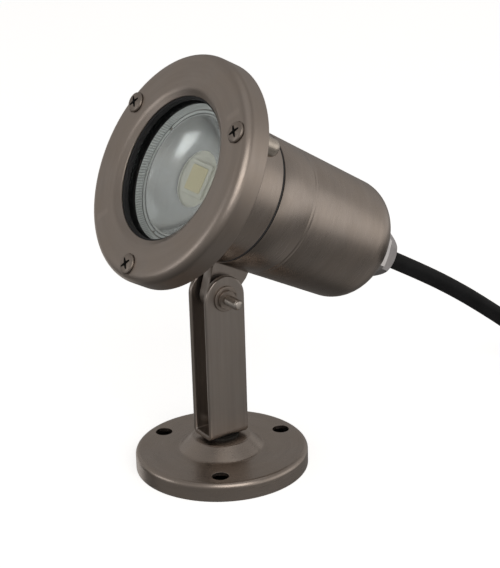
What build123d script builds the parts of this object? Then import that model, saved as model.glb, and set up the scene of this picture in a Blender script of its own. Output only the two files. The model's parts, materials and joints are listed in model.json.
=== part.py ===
"""Underwater pond light: a tilting spot lamp on a pan and tilt yoke, with a round screw-down base.

Millimetres, +Z up, origin at the centre of the base's underside. The lamp looks along -Y and
upwards, and its tilt axis runs along X. The lamp's own pieces are drawn along its optical axis: z
there is the depth behind the front face, and y points from the optical axis to the tilt bolt.
"""

from build123d import *
from math import cos, pi, radians, sin, sqrt, tan
import os

# ---------------------------------------------------------------- driving dimensions
SHEET = 1.5             # stainless sheet of the base and the bezel
FACE_GAP = 0.1          # between two faces that only meet
RUNNING = 0.08          # radial clearance of a hole that turns on its bolt

BASE_R = 33.7
BASE_RIM_H = 7.5
BASE_EDGE_R = 2.0
BOSS_FOOT_R = 16.5
BOSS_TOP_R = 11.3
BOSS_TOP_Z = 12.3
BASE_HOLE_R = 3.25      # clears an M6 wood screw or a stake's bolt
BASE_HOLE_PCR = 26.8    # radius of the circle through the three holes
BASE_HOLE_TURN = -34.0  # degrees, first hole from +X

YOKE_WIDTH = 17.2       # along Y
YOKE_SPAN = 12.8        # outside to outside, along X
YOKE_SHEET = 2.0
YOKE_FLOOR_Z = 13.3
YOKE_BEND_R = 2.6
PIVOT_Z = 71.0

TILT_AT_REST = 30.0     # degrees, optical axis above the horizontal
PIVOT_DEPTH = 44.2      # from the front face to the tilt axis, along the optical axis
PIVOT_DROP = 37.45      # from the optical axis to the tilt axis

BEZEL_R = 44.0
BEZEL_SKIRT = 10.6
BEZEL_EDGE_R = 1.9
WINDOW_R = 27.7         # clear opening of the bezel
WINDOW_ROLL_R = 2.5     # its rolled edge
SCREW_PCR = 38.2
SCREW_TURN = 33.0       # degrees, first bezel screw above +X

GLASS_R = 31.9
GLASS_T = 3.0
GLASS_DEPTH = 4.7
RING_DEPTH = 7.9        # front of the trim ring
RING_H = 3.4
RING_OUTER_R = 26.8
RING_INNER_R = 24.0
LED_DEPTH = 15.0        # light-emitting surface

SEAM_DEPTH = 34.75      # joint between the front housing and the rear can
SEAM_GAP = 0.9
SEAM_R = 26.35
CAN_END_R = 24.1        # where the rear shoulder starts
CAN_END_DEPTH = 88.3
CAN_WALL = 1.6
SHOULDER_R, SHOULDER_TURN = 13.0, 55.0
DOME_R, DOME_TURN = 45.0, 17.0
SWAGE_DEPTH = 52.0      # shallow rolled line round the can

CABLE_D = 7.0
CABLE_LENGTH = 1000.0   # from the gland to the end of the sheath
COIL_MID_R = 33.0       # at the middle of the turns
COIL_LOW_Z = 1.0        # the tie passes under the turns
COIL_TURNS_BELOW = 2
COIL_CENTRE = (32.0, 206.0)
COIL_HEADING = 100.0    # degrees from +X, the way the cable runs where it joins the coil
CORE_D = 2.2
CORE_LENGTH = 24.0      # the stripped end
TIE_ANGLE = -25.0       # where the tie goes round the coil, degrees from +X

os.makedirs("parts", exist_ok=True)
made = {}


def keep(name, *solids):
    """Write one named piece, or one group of like pieces, as parts/NAME.step."""
    shape = solids[0] if len(solids) == 1 else Compound(children=list(solids))
    made[name] = shape
    export_step(shape, f"parts/{name}.step")


# ---------------------------------------------------------------- shape helpers
def turned(*corners):
    """Solid of revolution about Z. Each corner is (radius, height) or (radius, height, rounding)."""
    points = [(c[0], c[1]) for c in corners]
    rounding = [c[2] if len(c) > 2 else 0 for c in corners]
    outline = FilletPolyline(*points, radius=rounding, close=True)
    return revolve(Plane.XZ * make_face(outline.edges()), Axis.Z)


def turned_from(*lines):
    """Solid of revolution about Z from the lines and arcs of its outline."""
    return revolve(Plane.XZ * make_face([edge for line in lines for edge in line.edges()]), Axis.Z)


def disc(radius, low, high, hole=0.0):
    """Flat round piece from low to high along Z."""
    solid = Pos(0, 0, low) * Cylinder(radius, high - low, align=(Align.CENTER, Align.CENTER, Align.MIN))
    if hole:
        solid -= Pos(0, 0, low) * Cylinder(hole, high - low, align=(Align.CENTER, Align.CENTER, Align.MIN))
    return solid


def block(size_x, size_y, low, high):
    """Rectangular piece centred on Z, from low to high."""
    return Pos(0, 0, (low + high) / 2) * Box(size_x, size_y, high - low)


def hexagon(across_flats, low, high, chamfered=0.5):
    """Hexagonal prism with its corners turned off at both ends, flats facing +X and -X."""
    prism = Pos(0, 0, low) * Rot(0, 0, 30) * extrude(
        RegularPolygon(across_flats / 2, 6, major_radius=False), high - low)
    corner = across_flats / 2 / cos(radians(30))
    return prism & turned((0, low), (corner - chamfered, low), (corner, low + chamfered),
                          (corner, high - chamfered), (corner - chamfered, high), (0, high))


def around(count, first=0.0):
    """Angles in degrees of evenly spaced places on a circle."""
    return [first + i * 360 / count for i in range(count)]


def on_circle(radius, angle, height=0.0):
    return Pos(radius * cos(radians(angle)), radius * sin(radians(angle)), height)


# ---------------------------------------------------------------- base and its pan bolt
PAN_BOLT_R = 2.5
PAN_NUT_AF = 8.0
PAN_HEAD_R, PAN_SOCKET_AF = 3.9, 3.0
YOKE_FLOOR_TOP = YOKE_FLOOR_Z + YOKE_SHEET
BOSS_INSIDE_Z = BOSS_TOP_Z - SHEET


def base_flange():
    """Pressed dish with a raised boss, three screw holes and the pan bolt's hole."""
    slope = SHEET * 0.75
    hole_r = PAN_BOLT_R + 0.1
    inside_z = BASE_RIM_H - SHEET
    dish = turned(
        (hole_r, BOSS_TOP_Z), (BOSS_TOP_R, BOSS_TOP_Z, 1.2), (BOSS_FOOT_R, BASE_RIM_H, 1.5),
        (BASE_R, BASE_RIM_H, BASE_EDGE_R), (BASE_R, 0, 0.3), (BASE_R - SHEET, 0, 0.3),
        (BASE_R - SHEET, inside_z, 0.5), (BOSS_FOOT_R - slope, inside_z, 2.4),
        (BOSS_TOP_R - slope, BOSS_INSIDE_Z, 0.4), (hole_r, BOSS_INSIDE_Z))
    for angle in around(3, BASE_HOLE_TURN):
        dish -= on_circle(BASE_HOLE_PCR, angle, BASE_RIM_H) * Cylinder(BASE_HOLE_R, 6)
    return dish


def pan_bolt():
    """Round socket head between the yoke's arms, shank down through the boss, domed end under it."""
    end_z, head_z, head_h = 2.6, YOKE_FLOOR_TOP + FACE_GAP, 3.2
    top = head_z + head_h
    bolt = turned((0, end_z), (PAN_BOLT_R, end_z, 0.6), (PAN_BOLT_R, head_z), (PAN_HEAD_R, head_z, 0.2),
                  (PAN_HEAD_R, top, 0.9), (0, top))
    return bolt - hexagon(PAN_SOCKET_AF, top - 1.8, top + 1, 0.1)


def build_base():
    nut_top, nut_h = BOSS_INSIDE_Z - 1.3, 4.5
    hole_r = PAN_BOLT_R + 0.1
    keep("base_flange", base_flange())
    keep("pan_bolt", pan_bolt())
    keep("pan_friction_washer", disc(7.0, BOSS_TOP_Z + 0.05, YOKE_FLOOR_Z - 0.05, hole_r))
    keep("pan_lock_washer", disc(6.0, nut_top + 0.1, BOSS_INSIDE_Z - 0.05, hole_r))
    keep("pan_nut", hexagon(PAN_NUT_AF, nut_top - nut_h, nut_top) - disc(PAN_BOLT_R + 0.02, 0, 20))


# ---------------------------------------------------------------- yoke and its tilt bolt
TILT_BOLT_R = 2.0
TILT_BOLT_END = 15.8
TILT_HEAD_AF = 7.0
TILT_WASHER_R, TILT_WASHER_T = 5.0, 0.8
LUG_T = 5.0
YOKE_HALF = YOKE_SPAN / 2
YOKE_INSIDE = YOKE_HALF - YOKE_SHEET
ALONG_TILT = Plane(origin=(0, 0, PIVOT_Z), x_dir=(0, 1, 0), z_dir=(1, 0, 0))


def on_tilt_axis(solid):
    """Move a solid drawn along Z onto the tilt axis, its z becoming X."""
    return ALONG_TILT * solid


def yoke():
    """Strip bent to a U: a floor on the base's boss and two arms with round ends."""
    profile = FilletPolyline(
        (-YOKE_HALF, PIVOT_Z), (-YOKE_HALF, YOKE_FLOOR_Z), (YOKE_HALF, YOKE_FLOOR_Z), (YOKE_HALF, PIVOT_Z),
        (YOKE_INSIDE, PIVOT_Z), (YOKE_INSIDE, YOKE_FLOOR_TOP), (-YOKE_INSIDE, YOKE_FLOOR_TOP),
        (-YOKE_INSIDE, PIVOT_Z), close=True,
        radius=[0, YOKE_BEND_R, YOKE_BEND_R, 0, 0, 0.8, 0.8, 0])
    strip = extrude(Plane.XZ * make_face(profile.edges()), YOKE_WIDTH / 2, both=True)
    for side in (-1, 1):
        middle = side * (YOKE_HALF + YOKE_INSIDE) / 2
        strip += on_tilt_axis(Pos(0, 0, middle) * Cylinder(YOKE_WIDTH / 2, YOKE_SHEET))
    strip -= on_tilt_axis(Cylinder(TILT_BOLT_R + 0.02, 2 * YOKE_SPAN))
    return strip - disc(PAN_BOLT_R + RUNNING, 10, 20)


def tilt_bolt():
    """Hexagon head on the far side, shank through both arms and the lug, domed end on the near side."""
    head, head_h = YOKE_HALF + 1.0, 2.8
    shank = turned((0, -head), (TILT_BOLT_R, -head), (TILT_BOLT_R, TILT_BOLT_END, 0.4),
                   (0, TILT_BOLT_END))
    return on_tilt_axis(shank + hexagon(TILT_HEAD_AF, -head - head_h, -head))


def split_washer(radius, low, high):
    """Spring washer: a ring with a slanting cut."""
    ring = disc(radius, low, high, TILT_BOLT_R + 0.05)
    return ring - Pos(radius * 0.8, 0, (low + high) / 2) * Rot(25, 0, 0) * Box(radius, 0.5, 3)


def build_yoke():
    washer_out = YOKE_HALF + 0.9
    spring_out = washer_out + 1.0
    nut_low, nut_h = spring_out + FACE_GAP, 2.0
    bore = TILT_BOLT_R + 0.02
    spacer_t = YOKE_INSIDE - LUG_T / 2 - 2 * FACE_GAP
    keep("yoke", yoke())
    keep("tilt_bolt", tilt_bolt())
    keep("tilt_washers", *[
        on_tilt_axis(disc(TILT_WASHER_R, low, low + TILT_WASHER_T, bore))
        for low in (YOKE_HALF + 0.05, -washer_out)])
    keep("tilt_spring_washer", on_tilt_axis(split_washer(3.7, washer_out + 0.05, spring_out)))
    keep("tilt_nut", on_tilt_axis(
        hexagon(TILT_HEAD_AF, nut_low, nut_low + nut_h) - disc(bore, 0, TILT_BOLT_END)))
    keep("lug_spacers", *[
        on_tilt_axis(disc(5.0, low, low + spacer_t, TILT_BOLT_R + 0.05))
        for low in (LUG_T / 2 + FACE_GAP, -YOKE_INSIDE + FACE_GAP)])


# ---------------------------------------------------------------- the lamp's own frame
TILT = radians(TILT_AT_REST)
AHEAD = Vector(0, -cos(TILT), sin(TILT))
ACROSS = Vector(0, sin(TILT), cos(TILT))
FRONT = Vector(0, 0, PIVOT_Z) + AHEAD * PIVOT_DEPTH + ACROSS * PIVOT_DROP
LAMP = Plane(origin=FRONT, x_dir=(1, 0, 0), z_dir=(-AHEAD.X, -AHEAD.Y, -AHEAD.Z))


def keep_on_lamp(name, *solids):
    """Keep pieces drawn along the optical axis, moved to where the lamp is at rest."""
    keep(name, *[LAMP * solid for solid in solids])


def bezel_places():
    """The three screw places on the bezel."""
    return [on_circle(SCREW_PCR, -angle) for angle in around(3, SCREW_TURN)]


# ---------------------------------------------------------------- bezel, glass and seals
BEZEL_SCREW_R = 2.0
BEZEL_SCREW_END = 16.0


def bezel():
    """Pressed front ring: flat face, rolled window edge, deep outer skirt, three screw holes."""
    lip = 3.2
    inner_r, window_back_r = BEZEL_R - SHEET, WINDOW_R + SHEET
    ring = turned(
        (WINDOW_R, lip), (WINDOW_R, 0, WINDOW_ROLL_R), (BEZEL_R, 0, BEZEL_EDGE_R),
        (BEZEL_R, BEZEL_SKIRT, 0.4), (inner_r, BEZEL_SKIRT, 0.4), (inner_r, SHEET, 0.5),
        (window_back_r, SHEET, WINDOW_ROLL_R - SHEET), (window_back_r, lip))
    for place in bezel_places():
        ring -= place * Cylinder(2.15, 8)
    return ring


def bezel_screw():
    """M4 pan-head screw with a cross recess."""
    top, under, head_r = -1.3, -0.02, 3.9
    head = turned((0, top), (head_r, top, 0.9), (head_r, under, 0.1), (0, under))
    for turn in (45, 135):
        head -= Pos(0, 0, top) * Rot(0, 0, turn) * Box(4.4, 0.9, 1.5)
    return head + turned((0, under), (BEZEL_SCREW_R, under), (BEZEL_SCREW_R, BEZEL_SCREW_END, 0.5),
                         (0, BEZEL_SCREW_END))


def lens_gasket():
    """Rubber ring of U section that grips the edge of the glass."""
    inner, outer = 26.9, GLASS_R + SHEET
    step_r, face, lip = WINDOW_R + SHEET + 0.2, SHEET + FACE_GAP, 3.4
    front, back, slot_r = GLASS_DEPTH - FACE_GAP, GLASS_DEPTH + GLASS_T + FACE_GAP, GLASS_R + FACE_GAP
    return turned(
        (inner, lip, 0.3), (step_r, lip), (step_r, face, 1.1), (outer, face), (outer, back + 1.5),
        (inner, back + 1.5, 0.3), (inner, back), (slot_r, back), (slot_r, front), (inner, front))


def glass():
    """Toughened disc with a ground edge."""
    front, back, edge = GLASS_DEPTH, GLASS_DEPTH + GLASS_T, 0.4
    return turned((0, front), (GLASS_R - edge, front), (GLASS_R, front + edge),
                  (GLASS_R, back - edge), (GLASS_R - edge, back), (0, back))


def trim_ring():
    """Grey ring behind the glass: sloping band, a groove, a flat inner band and two clip notches."""
    low, floor, high = RING_DEPTH, RING_DEPTH + 2.0, RING_DEPTH + RING_H
    groove_in, groove_out, groove_floor = 25.0, 25.4, floor + 0.7
    ring = turned((RING_INNER_R, floor), (groove_in, floor), (groove_in, groove_floor),
                  (groove_out, groove_floor), (groove_out, floor), (RING_OUTER_R - 0.2, low),
                  (RING_OUTER_R, low), (RING_OUTER_R, high), (RING_INNER_R, high))
    for angle in (-147, -258):
        ring -= on_circle(RING_INNER_R, angle, floor) * Rot(0, 0, angle) * Box(1.2, 1.6, 1.6)
    return ring


def build_front():
    keep_on_lamp("bezel", bezel())
    keep_on_lamp("bezel_screws", *[place * bezel_screw() for place in bezel_places()])
    keep_on_lamp("lens_gasket", lens_gasket())
    keep_on_lamp("front_glass", glass())
    keep_on_lamp("trim_ring", trim_ring())


# ---------------------------------------------------------------- light engine
def reflector():
    """Bright bowl, open at the back round the light source."""
    rim_r, foot_r, wall = 23.8, 11.0, 0.8
    rim, foot = RING_DEPTH + 2.1, LED_DEPTH + 0.2
    inside = TangentArc((foot_r, foot), (rim_r - wall, rim), tangent=(1, 0))
    outside = TangentArc((foot_r, foot + wall), (rim_r, rim), tangent=(1, 0))
    return turned_from(inside, Line(inside @ 0, outside @ 0), outside, Line(outside @ 1, inside @ 1))


def heat_sink():
    """Aluminium disc with parallel fins behind it."""
    front, back, fin_end = 18.0, 21.5, 30.6
    plate = disc(23.6, front, back)
    for step in range(-3, 4):
        offset = step * 5.6
        fin = block(1.8, 2 * sqrt(23.0 ** 2 - offset ** 2) - 3, back - 0.1, fin_end)
        plate += Pos(offset, 0, 0) * fin
    return plate - disc(3.0, front - 1, back + 0.5)


def build_light_engine():
    board_front, board_back = LED_DEPTH + 1.1, 17.8
    chip_size, phosphor_size = 13.0, 9.8
    chip_front = LED_DEPTH + FACE_GAP
    board = disc(15.0, board_front, board_back, 2.5)
    keep_on_lamp("reflector", reflector())
    keep_on_lamp("led_board", board)
    keep_on_lamp("led_chip", block(chip_size, chip_size, chip_front, board_front - 0.05))
    keep_on_lamp("led_phosphor", block(
        phosphor_size, phosphor_size, LED_DEPTH - 0.3, chip_front - 0.02))
    keep_on_lamp("heat_sink", heat_sink())


# ---------------------------------------------------------------- front housing
def can_outer_r(depth):
    """Radius of the body, which tapers evenly from the flange to the rear shoulder."""
    slope = (SEAM_R - CAN_END_R) / (CAN_END_DEPTH - SEAM_DEPTH)
    return SEAM_R - slope * (depth - SEAM_DEPTH)


FLANGE_R = 42.35
HUB_R, HUB_BACK = 34.4, 11.6
FLANGE_FRONT, FLANGE_BACK = 3.0, 8.0
GLASS_SEAT_DEPTH = 9.45
GLASS_SEAT_R = GLASS_R + SHEET + 0.05
SLEEVE_BORE = 24.4
SPIGOT_R, SPIGOT_BORE = 24.2, 22.0
SPIGOT_END = 44.0
SEAM_FRONT, SEAM_BACK = SEAM_DEPTH - SEAM_GAP / 2, SEAM_DEPTH + SEAM_GAP / 2
BOSS_R, BOSS_END = 3.5, 19.4


def front_flange():
    """Ring that carries the bezel and the glass, with three screw bosses through it."""
    sleeve_r = can_outer_r(GLASS_SEAT_DEPTH) + 0.05
    ring = turned(
        (GLASS_SEAT_R, FLANGE_FRONT), (FLANGE_R, FLANGE_FRONT, 0.2), (FLANGE_R, FLANGE_BACK, 0.2),
        (HUB_R, FLANGE_BACK), (HUB_R, HUB_BACK, 1.0), (sleeve_r, HUB_BACK),
        (sleeve_r, GLASS_SEAT_DEPTH), (GLASS_SEAT_R, GLASS_SEAT_DEPTH))
    for place in bezel_places():
        ring -= place * disc(BOSS_R + 0.02, 0, 30)
    return ring


def front_sleeve():
    """Tube welded into the flange, with the spigot that enters the can."""
    ring_seat, ring_bore = RING_DEPTH + RING_H + FACE_GAP, RING_OUTER_R + FACE_GAP
    return turned(
        (can_outer_r(GLASS_SEAT_DEPTH), GLASS_SEAT_DEPTH), (can_outer_r(SEAM_FRONT), SEAM_FRONT),
        (SPIGOT_R, SEAM_FRONT), (SPIGOT_R, SPIGOT_END, 0.4), (SPIGOT_BORE, SPIGOT_END, 0.4),
        (SPIGOT_BORE, 32.0), (SLEEVE_BORE, 31.5), (SLEEVE_BORE, ring_seat), (ring_bore, ring_seat),
        (ring_bore, GLASS_SEAT_DEPTH))


def threaded_boss():
    """Round pillar through the flange that takes one bezel screw, closed by a domed end."""
    pillar = turned((0, FLANGE_FRONT), (BOSS_R, FLANGE_FRONT), (BOSS_R, BOSS_END, 2.9), (0, BOSS_END))
    return pillar - disc(BEZEL_SCREW_R + 0.02, 0, BEZEL_SCREW_END + 0.1)


def build_housing():
    keep_on_lamp("front_flange", front_flange())
    keep_on_lamp("front_sleeve", front_sleeve())
    keep_on_lamp("screw_bosses", *[place * threaded_boss() for place in bezel_places()])
    inner, outer, low, high = SPIGOT_R + 0.1, SEAM_R - 0.15, SEAM_FRONT + 0.05, SEAM_BACK - 0.05
    keep_on_lamp("body_seal", turned((inner, low), (outer, low, 0.3), (outer, high, 0.3), (inner, high)))


# ---------------------------------------------------------------- rear can, lug and cable gland
CAN_BACK = (CAN_END_DEPTH + SHOULDER_R * sin(radians(SHOULDER_TURN))
            + DOME_R * (sin(radians(SHOULDER_TURN + DOME_TURN)) - sin(radians(SHOULDER_TURN))))
GLAND_AF = 17.0
COLLAR_AF = 19.0
COLLAR_TURN = Rot(0, 0, -10)
GLAND_HOLE_R = 6.1
GLAND_THREAD_R = 7.0
GLAND_COLLAR = CAN_BACK + 3.8
GLAND_END = CAN_BACK + 9.4


def can_form(inset, low):
    """Solid form of the can's outside, or of its inside when inset by the wall."""
    start, first = (CAN_END_R - inset, CAN_END_DEPTH), (can_outer_r(low) - inset, low)
    side = Line(first, start)
    shoulder = JernArc(start, (0, 1), SHOULDER_R - inset, SHOULDER_TURN)
    dome = JernArc(shoulder @ 1, shoulder % 1, DOME_R - inset, DOME_TURN)
    top = (0, (dome @ 1).Y)
    return turned_from(side, shoulder, dome, Line(dome @ 1, top), Line(top, (0, low)),
                       Line((0, low), first))


def rear_can():
    """Deep-drawn can with a shallow rolled line, a round shoulder and the gland's hole."""
    floor, clear = can_outer_r(SWAGE_DEPTH) - 0.3, can_outer_r(SWAGE_DEPTH) + 1
    line = turned((floor, SWAGE_DEPTH - 0.2), (clear, SWAGE_DEPTH - 0.9), (clear, SWAGE_DEPTH + 0.9),
                  (floor, SWAGE_DEPTH + 0.2))
    hollow = can_form(CAN_WALL, SEAM_BACK - 0.01)
    return can_form(0, SEAM_BACK) - hollow - line - disc(GLAND_HOLE_R, 95, 112)


def tilt_lug():
    """Plate welded along the underside of the can, with a round end on the tilt bolt."""
    root, buried, foot, end_r = 8.5, 22.0, 27.5, 6.0
    end = Pos(PIVOT_DEPTH, PIVOT_DROP) * Circle(end_r)
    plate = make_hull([*end.edges(), *Polyline(
        (PIVOT_DEPTH - root, buried), (PIVOT_DEPTH + root, buried), (PIVOT_DEPTH + root, foot),
        (PIVOT_DEPTH - root, foot), close=True).edges()])
    side_on = Plane(origin=(0, 0, 0), x_dir=(0, 0, 1), z_dir=(-1, 0, 0))
    plate = extrude(side_on * plate, LUG_T / 2, both=True)
    bolt_place = Pos(0, PIVOT_DROP, PIVOT_DEPTH) * Rot(0, 90, 0)
    return plate - bolt_place * Cylinder(TILT_BOLT_R + RUNNING, 2 * LUG_T) - can_form(-0.02, 20)


def gland_nut():
    """Hexagonal cap with a domed end that squeezes the seal on the cable."""
    low = GLAND_COLLAR + 0.1
    corner = GLAND_AF / 2 / cos(radians(30)) + 0.04
    cap = hexagon(GLAND_AF, low, GLAND_END, 0.3) & turned(
        (0, low), (corner, low), (corner, GLAND_END - 2.2), (corner - 1.25, GLAND_END - 0.7),
        (corner - 3.25, GLAND_END), (0, GLAND_END))
    return cap - disc(CABLE_D / 2 + 0.2, low, GLAND_END) - disc(GLAND_THREAD_R + 0.1, low, GLAND_END - 1.8)


def build_rear():
    shank_end, thread_end = CAN_BACK - 6.5, GLAND_END - 4.4
    bore = 5.2
    body = (disc(GLAND_HOLE_R - 0.05, shank_end, CAN_BACK + 0.1)
            + COLLAR_TURN * hexagon(COLLAR_AF, CAN_BACK + 0.05, GLAND_COLLAR)
            + disc(GLAND_THREAD_R, GLAND_COLLAR, thread_end)) - disc(bore, shank_end, GLAND_END)
    locknut = hexagon(15.0, shank_end + 0.5, CAN_BACK - CAN_WALL - 1.0)
    keep_on_lamp("rear_can", rear_can())
    keep_on_lamp("tilt_lug", tilt_lug())
    keep_on_lamp("gland_body", body)
    keep_on_lamp("gland_nut", gland_nut())
    keep_on_lamp("gland_seal", disc(bore - 0.05, CAN_BACK - 3, thread_end, CABLE_D / 2 + 0.02))
    keep_on_lamp("gland_locknut", locknut - disc(GLAND_HOLE_R - 0.03, 90, 112))
    keep_on_lamp("cable_entry", disc(CABLE_D / 2, CAN_BACK - 14, GLAND_END))


# ---------------------------------------------------------------- driver inside the can
def build_driver():
    """Board on edge in the can, with the parts that turn the supply into the light source's current."""
    face = 0.9
    board = Pos(0, 0, 64) * Box(36, 1.6, 44)
    parts = [
        Pos(-8, -face - 5.6, 55) * Box(13, 11, 12),
        Pos(8, -face - 4.1, 53) * Rot(90, 0, 0) * Cylinder(4, 8),
        Pos(-10, -face - 3.1, 72) * Cylinder(3, 12),
        Pos(9, -face - 3.1, 70) * Box(8, 6, 8),
        Pos(0, face + 1.1, 60) * Box(9, 2, 7),
    ]
    leads = [Pos(x, 3.4, 41) * Cylinder(0.7, 19) for x in (-4, 4)]
    keep_on_lamp("driver_board", board)
    keep_on_lamp("driver_components", *parts)
    keep_on_lamp("led_leads", *leads)


# ---------------------------------------------------------------- cable
COIL_STEP = CABLE_D     # the turns lie one diameter apart
COIL_OUTER_MID = COIL_MID_R + COIL_STEP
COIL_INNER_MID = COIL_MID_R - COIL_STEP
LEAD_DIR = Vector(cos(radians(COIL_HEADING)), sin(radians(COIL_HEADING)))
COIL_START = Vector(*COIL_CENTRE) - Vector(LEAD_DIR.Y, -LEAD_DIR.X) * COIL_OUTER_MID
COIL_OUTSIDE_R = COIL_OUTER_MID + CABLE_D / 2
COIL_INSIDE_R = COIL_INNER_MID - CABLE_D / 2
CABLE_REST_Z = COIL_LOW_Z + CABLE_D / 2
MEET_COIL = COIL_START - LEAD_DIR * sqrt(COIL_OUTSIDE_R ** 2 - COIL_OUTER_MID ** 2)
GLAND_MOUTH = FRONT - AHEAD * (GLAND_END + 0.05)

CABLE_ROUTE = [
    (GLAND_MOUTH.X, GLAND_MOUTH.Y, GLAND_MOUTH.Z),
    (0.0, 98.4, 57.4),
    (0.8, 118.2, 44.6),
    (1.6, 137.0, 30.6),
    (0.9, 153.5, 17.6),
    (-1.4, 168.5, 8.2),
    (MEET_COIL.X, MEET_COIL.Y, CABLE_REST_Z),
]


def bend_radii(route):
    """The largest arc that each corner's two runs allow."""
    radii = []
    for before, corner, after in zip(route, route[1:], route[2:]):
        one, two = Vector(*corner) - Vector(*before), Vector(*after) - Vector(*corner)
        turn = radians(one.get_angle(two))
        radii.append(0.45 * min(one.length, two.length) / tan(turn / 2))
    return radii


def power_cable():
    """Rubber-sheathed cable from the gland down to the coil."""
    radii = bend_radii(CABLE_ROUTE)
    path = FilletPolyline(*CABLE_ROUTE, radius=radii)
    start = Plane(origin=path @ 0, z_dir=path % 0)
    tube = sweep(start * Circle(CABLE_D / 2), path=path.wire())
    print("cable bend radii", [round(r) for r in radii], "length", round(path.length, 1),
          "volume ratio", round(tube.volume / (pi * CABLE_D ** 2 / 4 * path.length), 4))
    return tube, path.length


def coil_turns_above(laid):
    """How many turns lie on the upper layer, from the length that the rest of the cable takes."""
    below = COIL_TURNS_BELOW * 2 * pi * COIL_MID_R
    left = CABLE_LENGTH - laid - below
    return (-COIL_INNER_MID + sqrt(COIL_INNER_MID ** 2 + left * COIL_STEP / pi)) / COIL_STEP


def build_cable():
    tube, laid = power_cable()
    laid += (COIL_START - MEET_COIL).length
    above = coil_turns_above(laid)
    top = COIL_LOW_Z + 2 * CABLE_D
    place = Pos(*COIL_CENTRE, 0)
    end_r = COIL_INNER_MID + COIL_STEP * above
    end_angle = COIL_HEADING + 90 - 360 * (COIL_TURNS_BELOW + above)
    print("coil turns", COIL_TURNS_BELOW + round(above, 3), "end angle", round(end_angle % 360, 1))
    keep("power_cable", tube)
    end = place * Rot(0, 0, end_angle) * Pos(end_r, 0, COIL_LOW_Z + CABLE_D)
    clear = Box(13, CORE_LENGTH + 4, 2 * CABLE_D, align=(Align.CENTER, Align.MAX, Align.MIN))
    keep("cable_coil", place * disc(COIL_OUTSIDE_R, COIL_LOW_Z, top, COIL_INSIDE_R) - end * clear)
    core = Rot(90, 0, 0) * disc(CORE_D / 2, 0, CORE_LENGTH)
    keep("cable_cores", *[
        end * Pos(side * 2.5, -0.5, CORE_D / 2 + 0.05) * core for side in (-1, 0, 1)])
    wall, band = 0.9, 4.5
    middle = (COIL_OUTSIDE_R + COIL_INSIDE_R) / 2
    width, height = COIL_OUTSIDE_R - COIL_INSIDE_R + 0.4, 2 * CABLE_D + 0.3
    loop = Box(width + 2 * wall, band, height + 2 * wall) - Box(width, band + 2, height)
    keep("cable_tie", place * Rot(0, 0, TIE_ANGLE) * Pos(middle, 0, COIL_LOW_Z + CABLE_D) * loop)


build_base()
build_yoke()
build_front()
build_light_engine()
build_housing()
build_rear()
build_driver()
build_cable()
print("pieces", len(made), "front centre", FRONT, "can back", round(CAN_BACK, 2), "coil start", COIL_START)
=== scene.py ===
"""Looks of the underwater pond light: brushed stainless lamp, yoke and base, rubber cable, glass front.

Lengths in this script are millimetres until a mesh is made, where MM turns them into metres. The lamp's own
pieces are built along its optical axis (z is the depth behind the front face) and then put on the CAD lamp.
"""
import json
from math import acos, ceil, cos, hypot, pi, radians, sin, tan

import bmesh
import bpy
import numpy as np
from mathutils import Matrix, Vector


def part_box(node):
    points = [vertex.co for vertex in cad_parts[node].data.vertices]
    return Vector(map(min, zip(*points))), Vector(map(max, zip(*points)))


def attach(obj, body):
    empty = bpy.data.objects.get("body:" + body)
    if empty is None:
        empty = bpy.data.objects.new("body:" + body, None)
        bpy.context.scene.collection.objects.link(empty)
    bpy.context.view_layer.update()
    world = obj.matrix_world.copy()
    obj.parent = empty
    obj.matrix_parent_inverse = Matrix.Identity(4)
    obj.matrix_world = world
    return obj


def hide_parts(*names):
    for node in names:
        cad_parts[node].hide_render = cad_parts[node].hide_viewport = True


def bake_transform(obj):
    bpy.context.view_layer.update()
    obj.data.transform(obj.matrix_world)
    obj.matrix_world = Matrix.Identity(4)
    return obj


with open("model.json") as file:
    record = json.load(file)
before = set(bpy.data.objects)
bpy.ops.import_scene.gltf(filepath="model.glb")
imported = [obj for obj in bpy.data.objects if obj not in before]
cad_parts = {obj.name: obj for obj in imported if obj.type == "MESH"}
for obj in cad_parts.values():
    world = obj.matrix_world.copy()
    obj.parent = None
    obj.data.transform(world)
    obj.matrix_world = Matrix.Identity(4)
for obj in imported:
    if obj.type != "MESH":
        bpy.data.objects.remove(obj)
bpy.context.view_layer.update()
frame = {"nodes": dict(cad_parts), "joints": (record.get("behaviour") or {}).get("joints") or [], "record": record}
MM = 0.001


# ---------------------------------------------------------------- places read from the frame
def centre(node):
    low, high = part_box(node)
    return (low + high) / 2


JOINT = {j["name"]: j for j in frame["joints"]}
PIVOT = Vector(JOINT["tilt"]["pos_m"])
BACKWARD = (centre("gland_nut") - centre("bezel")).normalized()
LAMP_X = Vector((1, 0, 0))
LAMP_Y = BACKWARD.cross(LAMP_X)


def lamp_span(node):
    """Lowest and highest depth of a lamp node along the optical axis, in mm from the bezel's middle."""
    axis_point = centre("bezel")
    depths = [(v.co - axis_point).dot(BACKWARD) / MM for v in frame["nodes"][node].data.vertices]
    return min(depths), max(depths)


BEZEL_FRONT = lamp_span("bezel")[0]
FRONT = centre("bezel") + BACKWARD * BEZEL_FRONT * MM
LAMP = Matrix((
    (LAMP_X.x, LAMP_Y.x, BACKWARD.x, FRONT.x),
    (LAMP_X.y, LAMP_Y.y, BACKWARD.y, FRONT.y),
    (LAMP_X.z, LAMP_Y.z, BACKWARD.z, FRONT.z),
    (0, 0, 0, 1)))
TILT_AXIS = Matrix.Translation(PIVOT) @ Matrix(((0, 0, 1, 0), (1, 0, 0, 0), (0, 1, 0, 0), (0, 0, 0, 1)))
GLAND_END = lamp_span("gland_nut")[1] - BEZEL_FRONT


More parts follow.
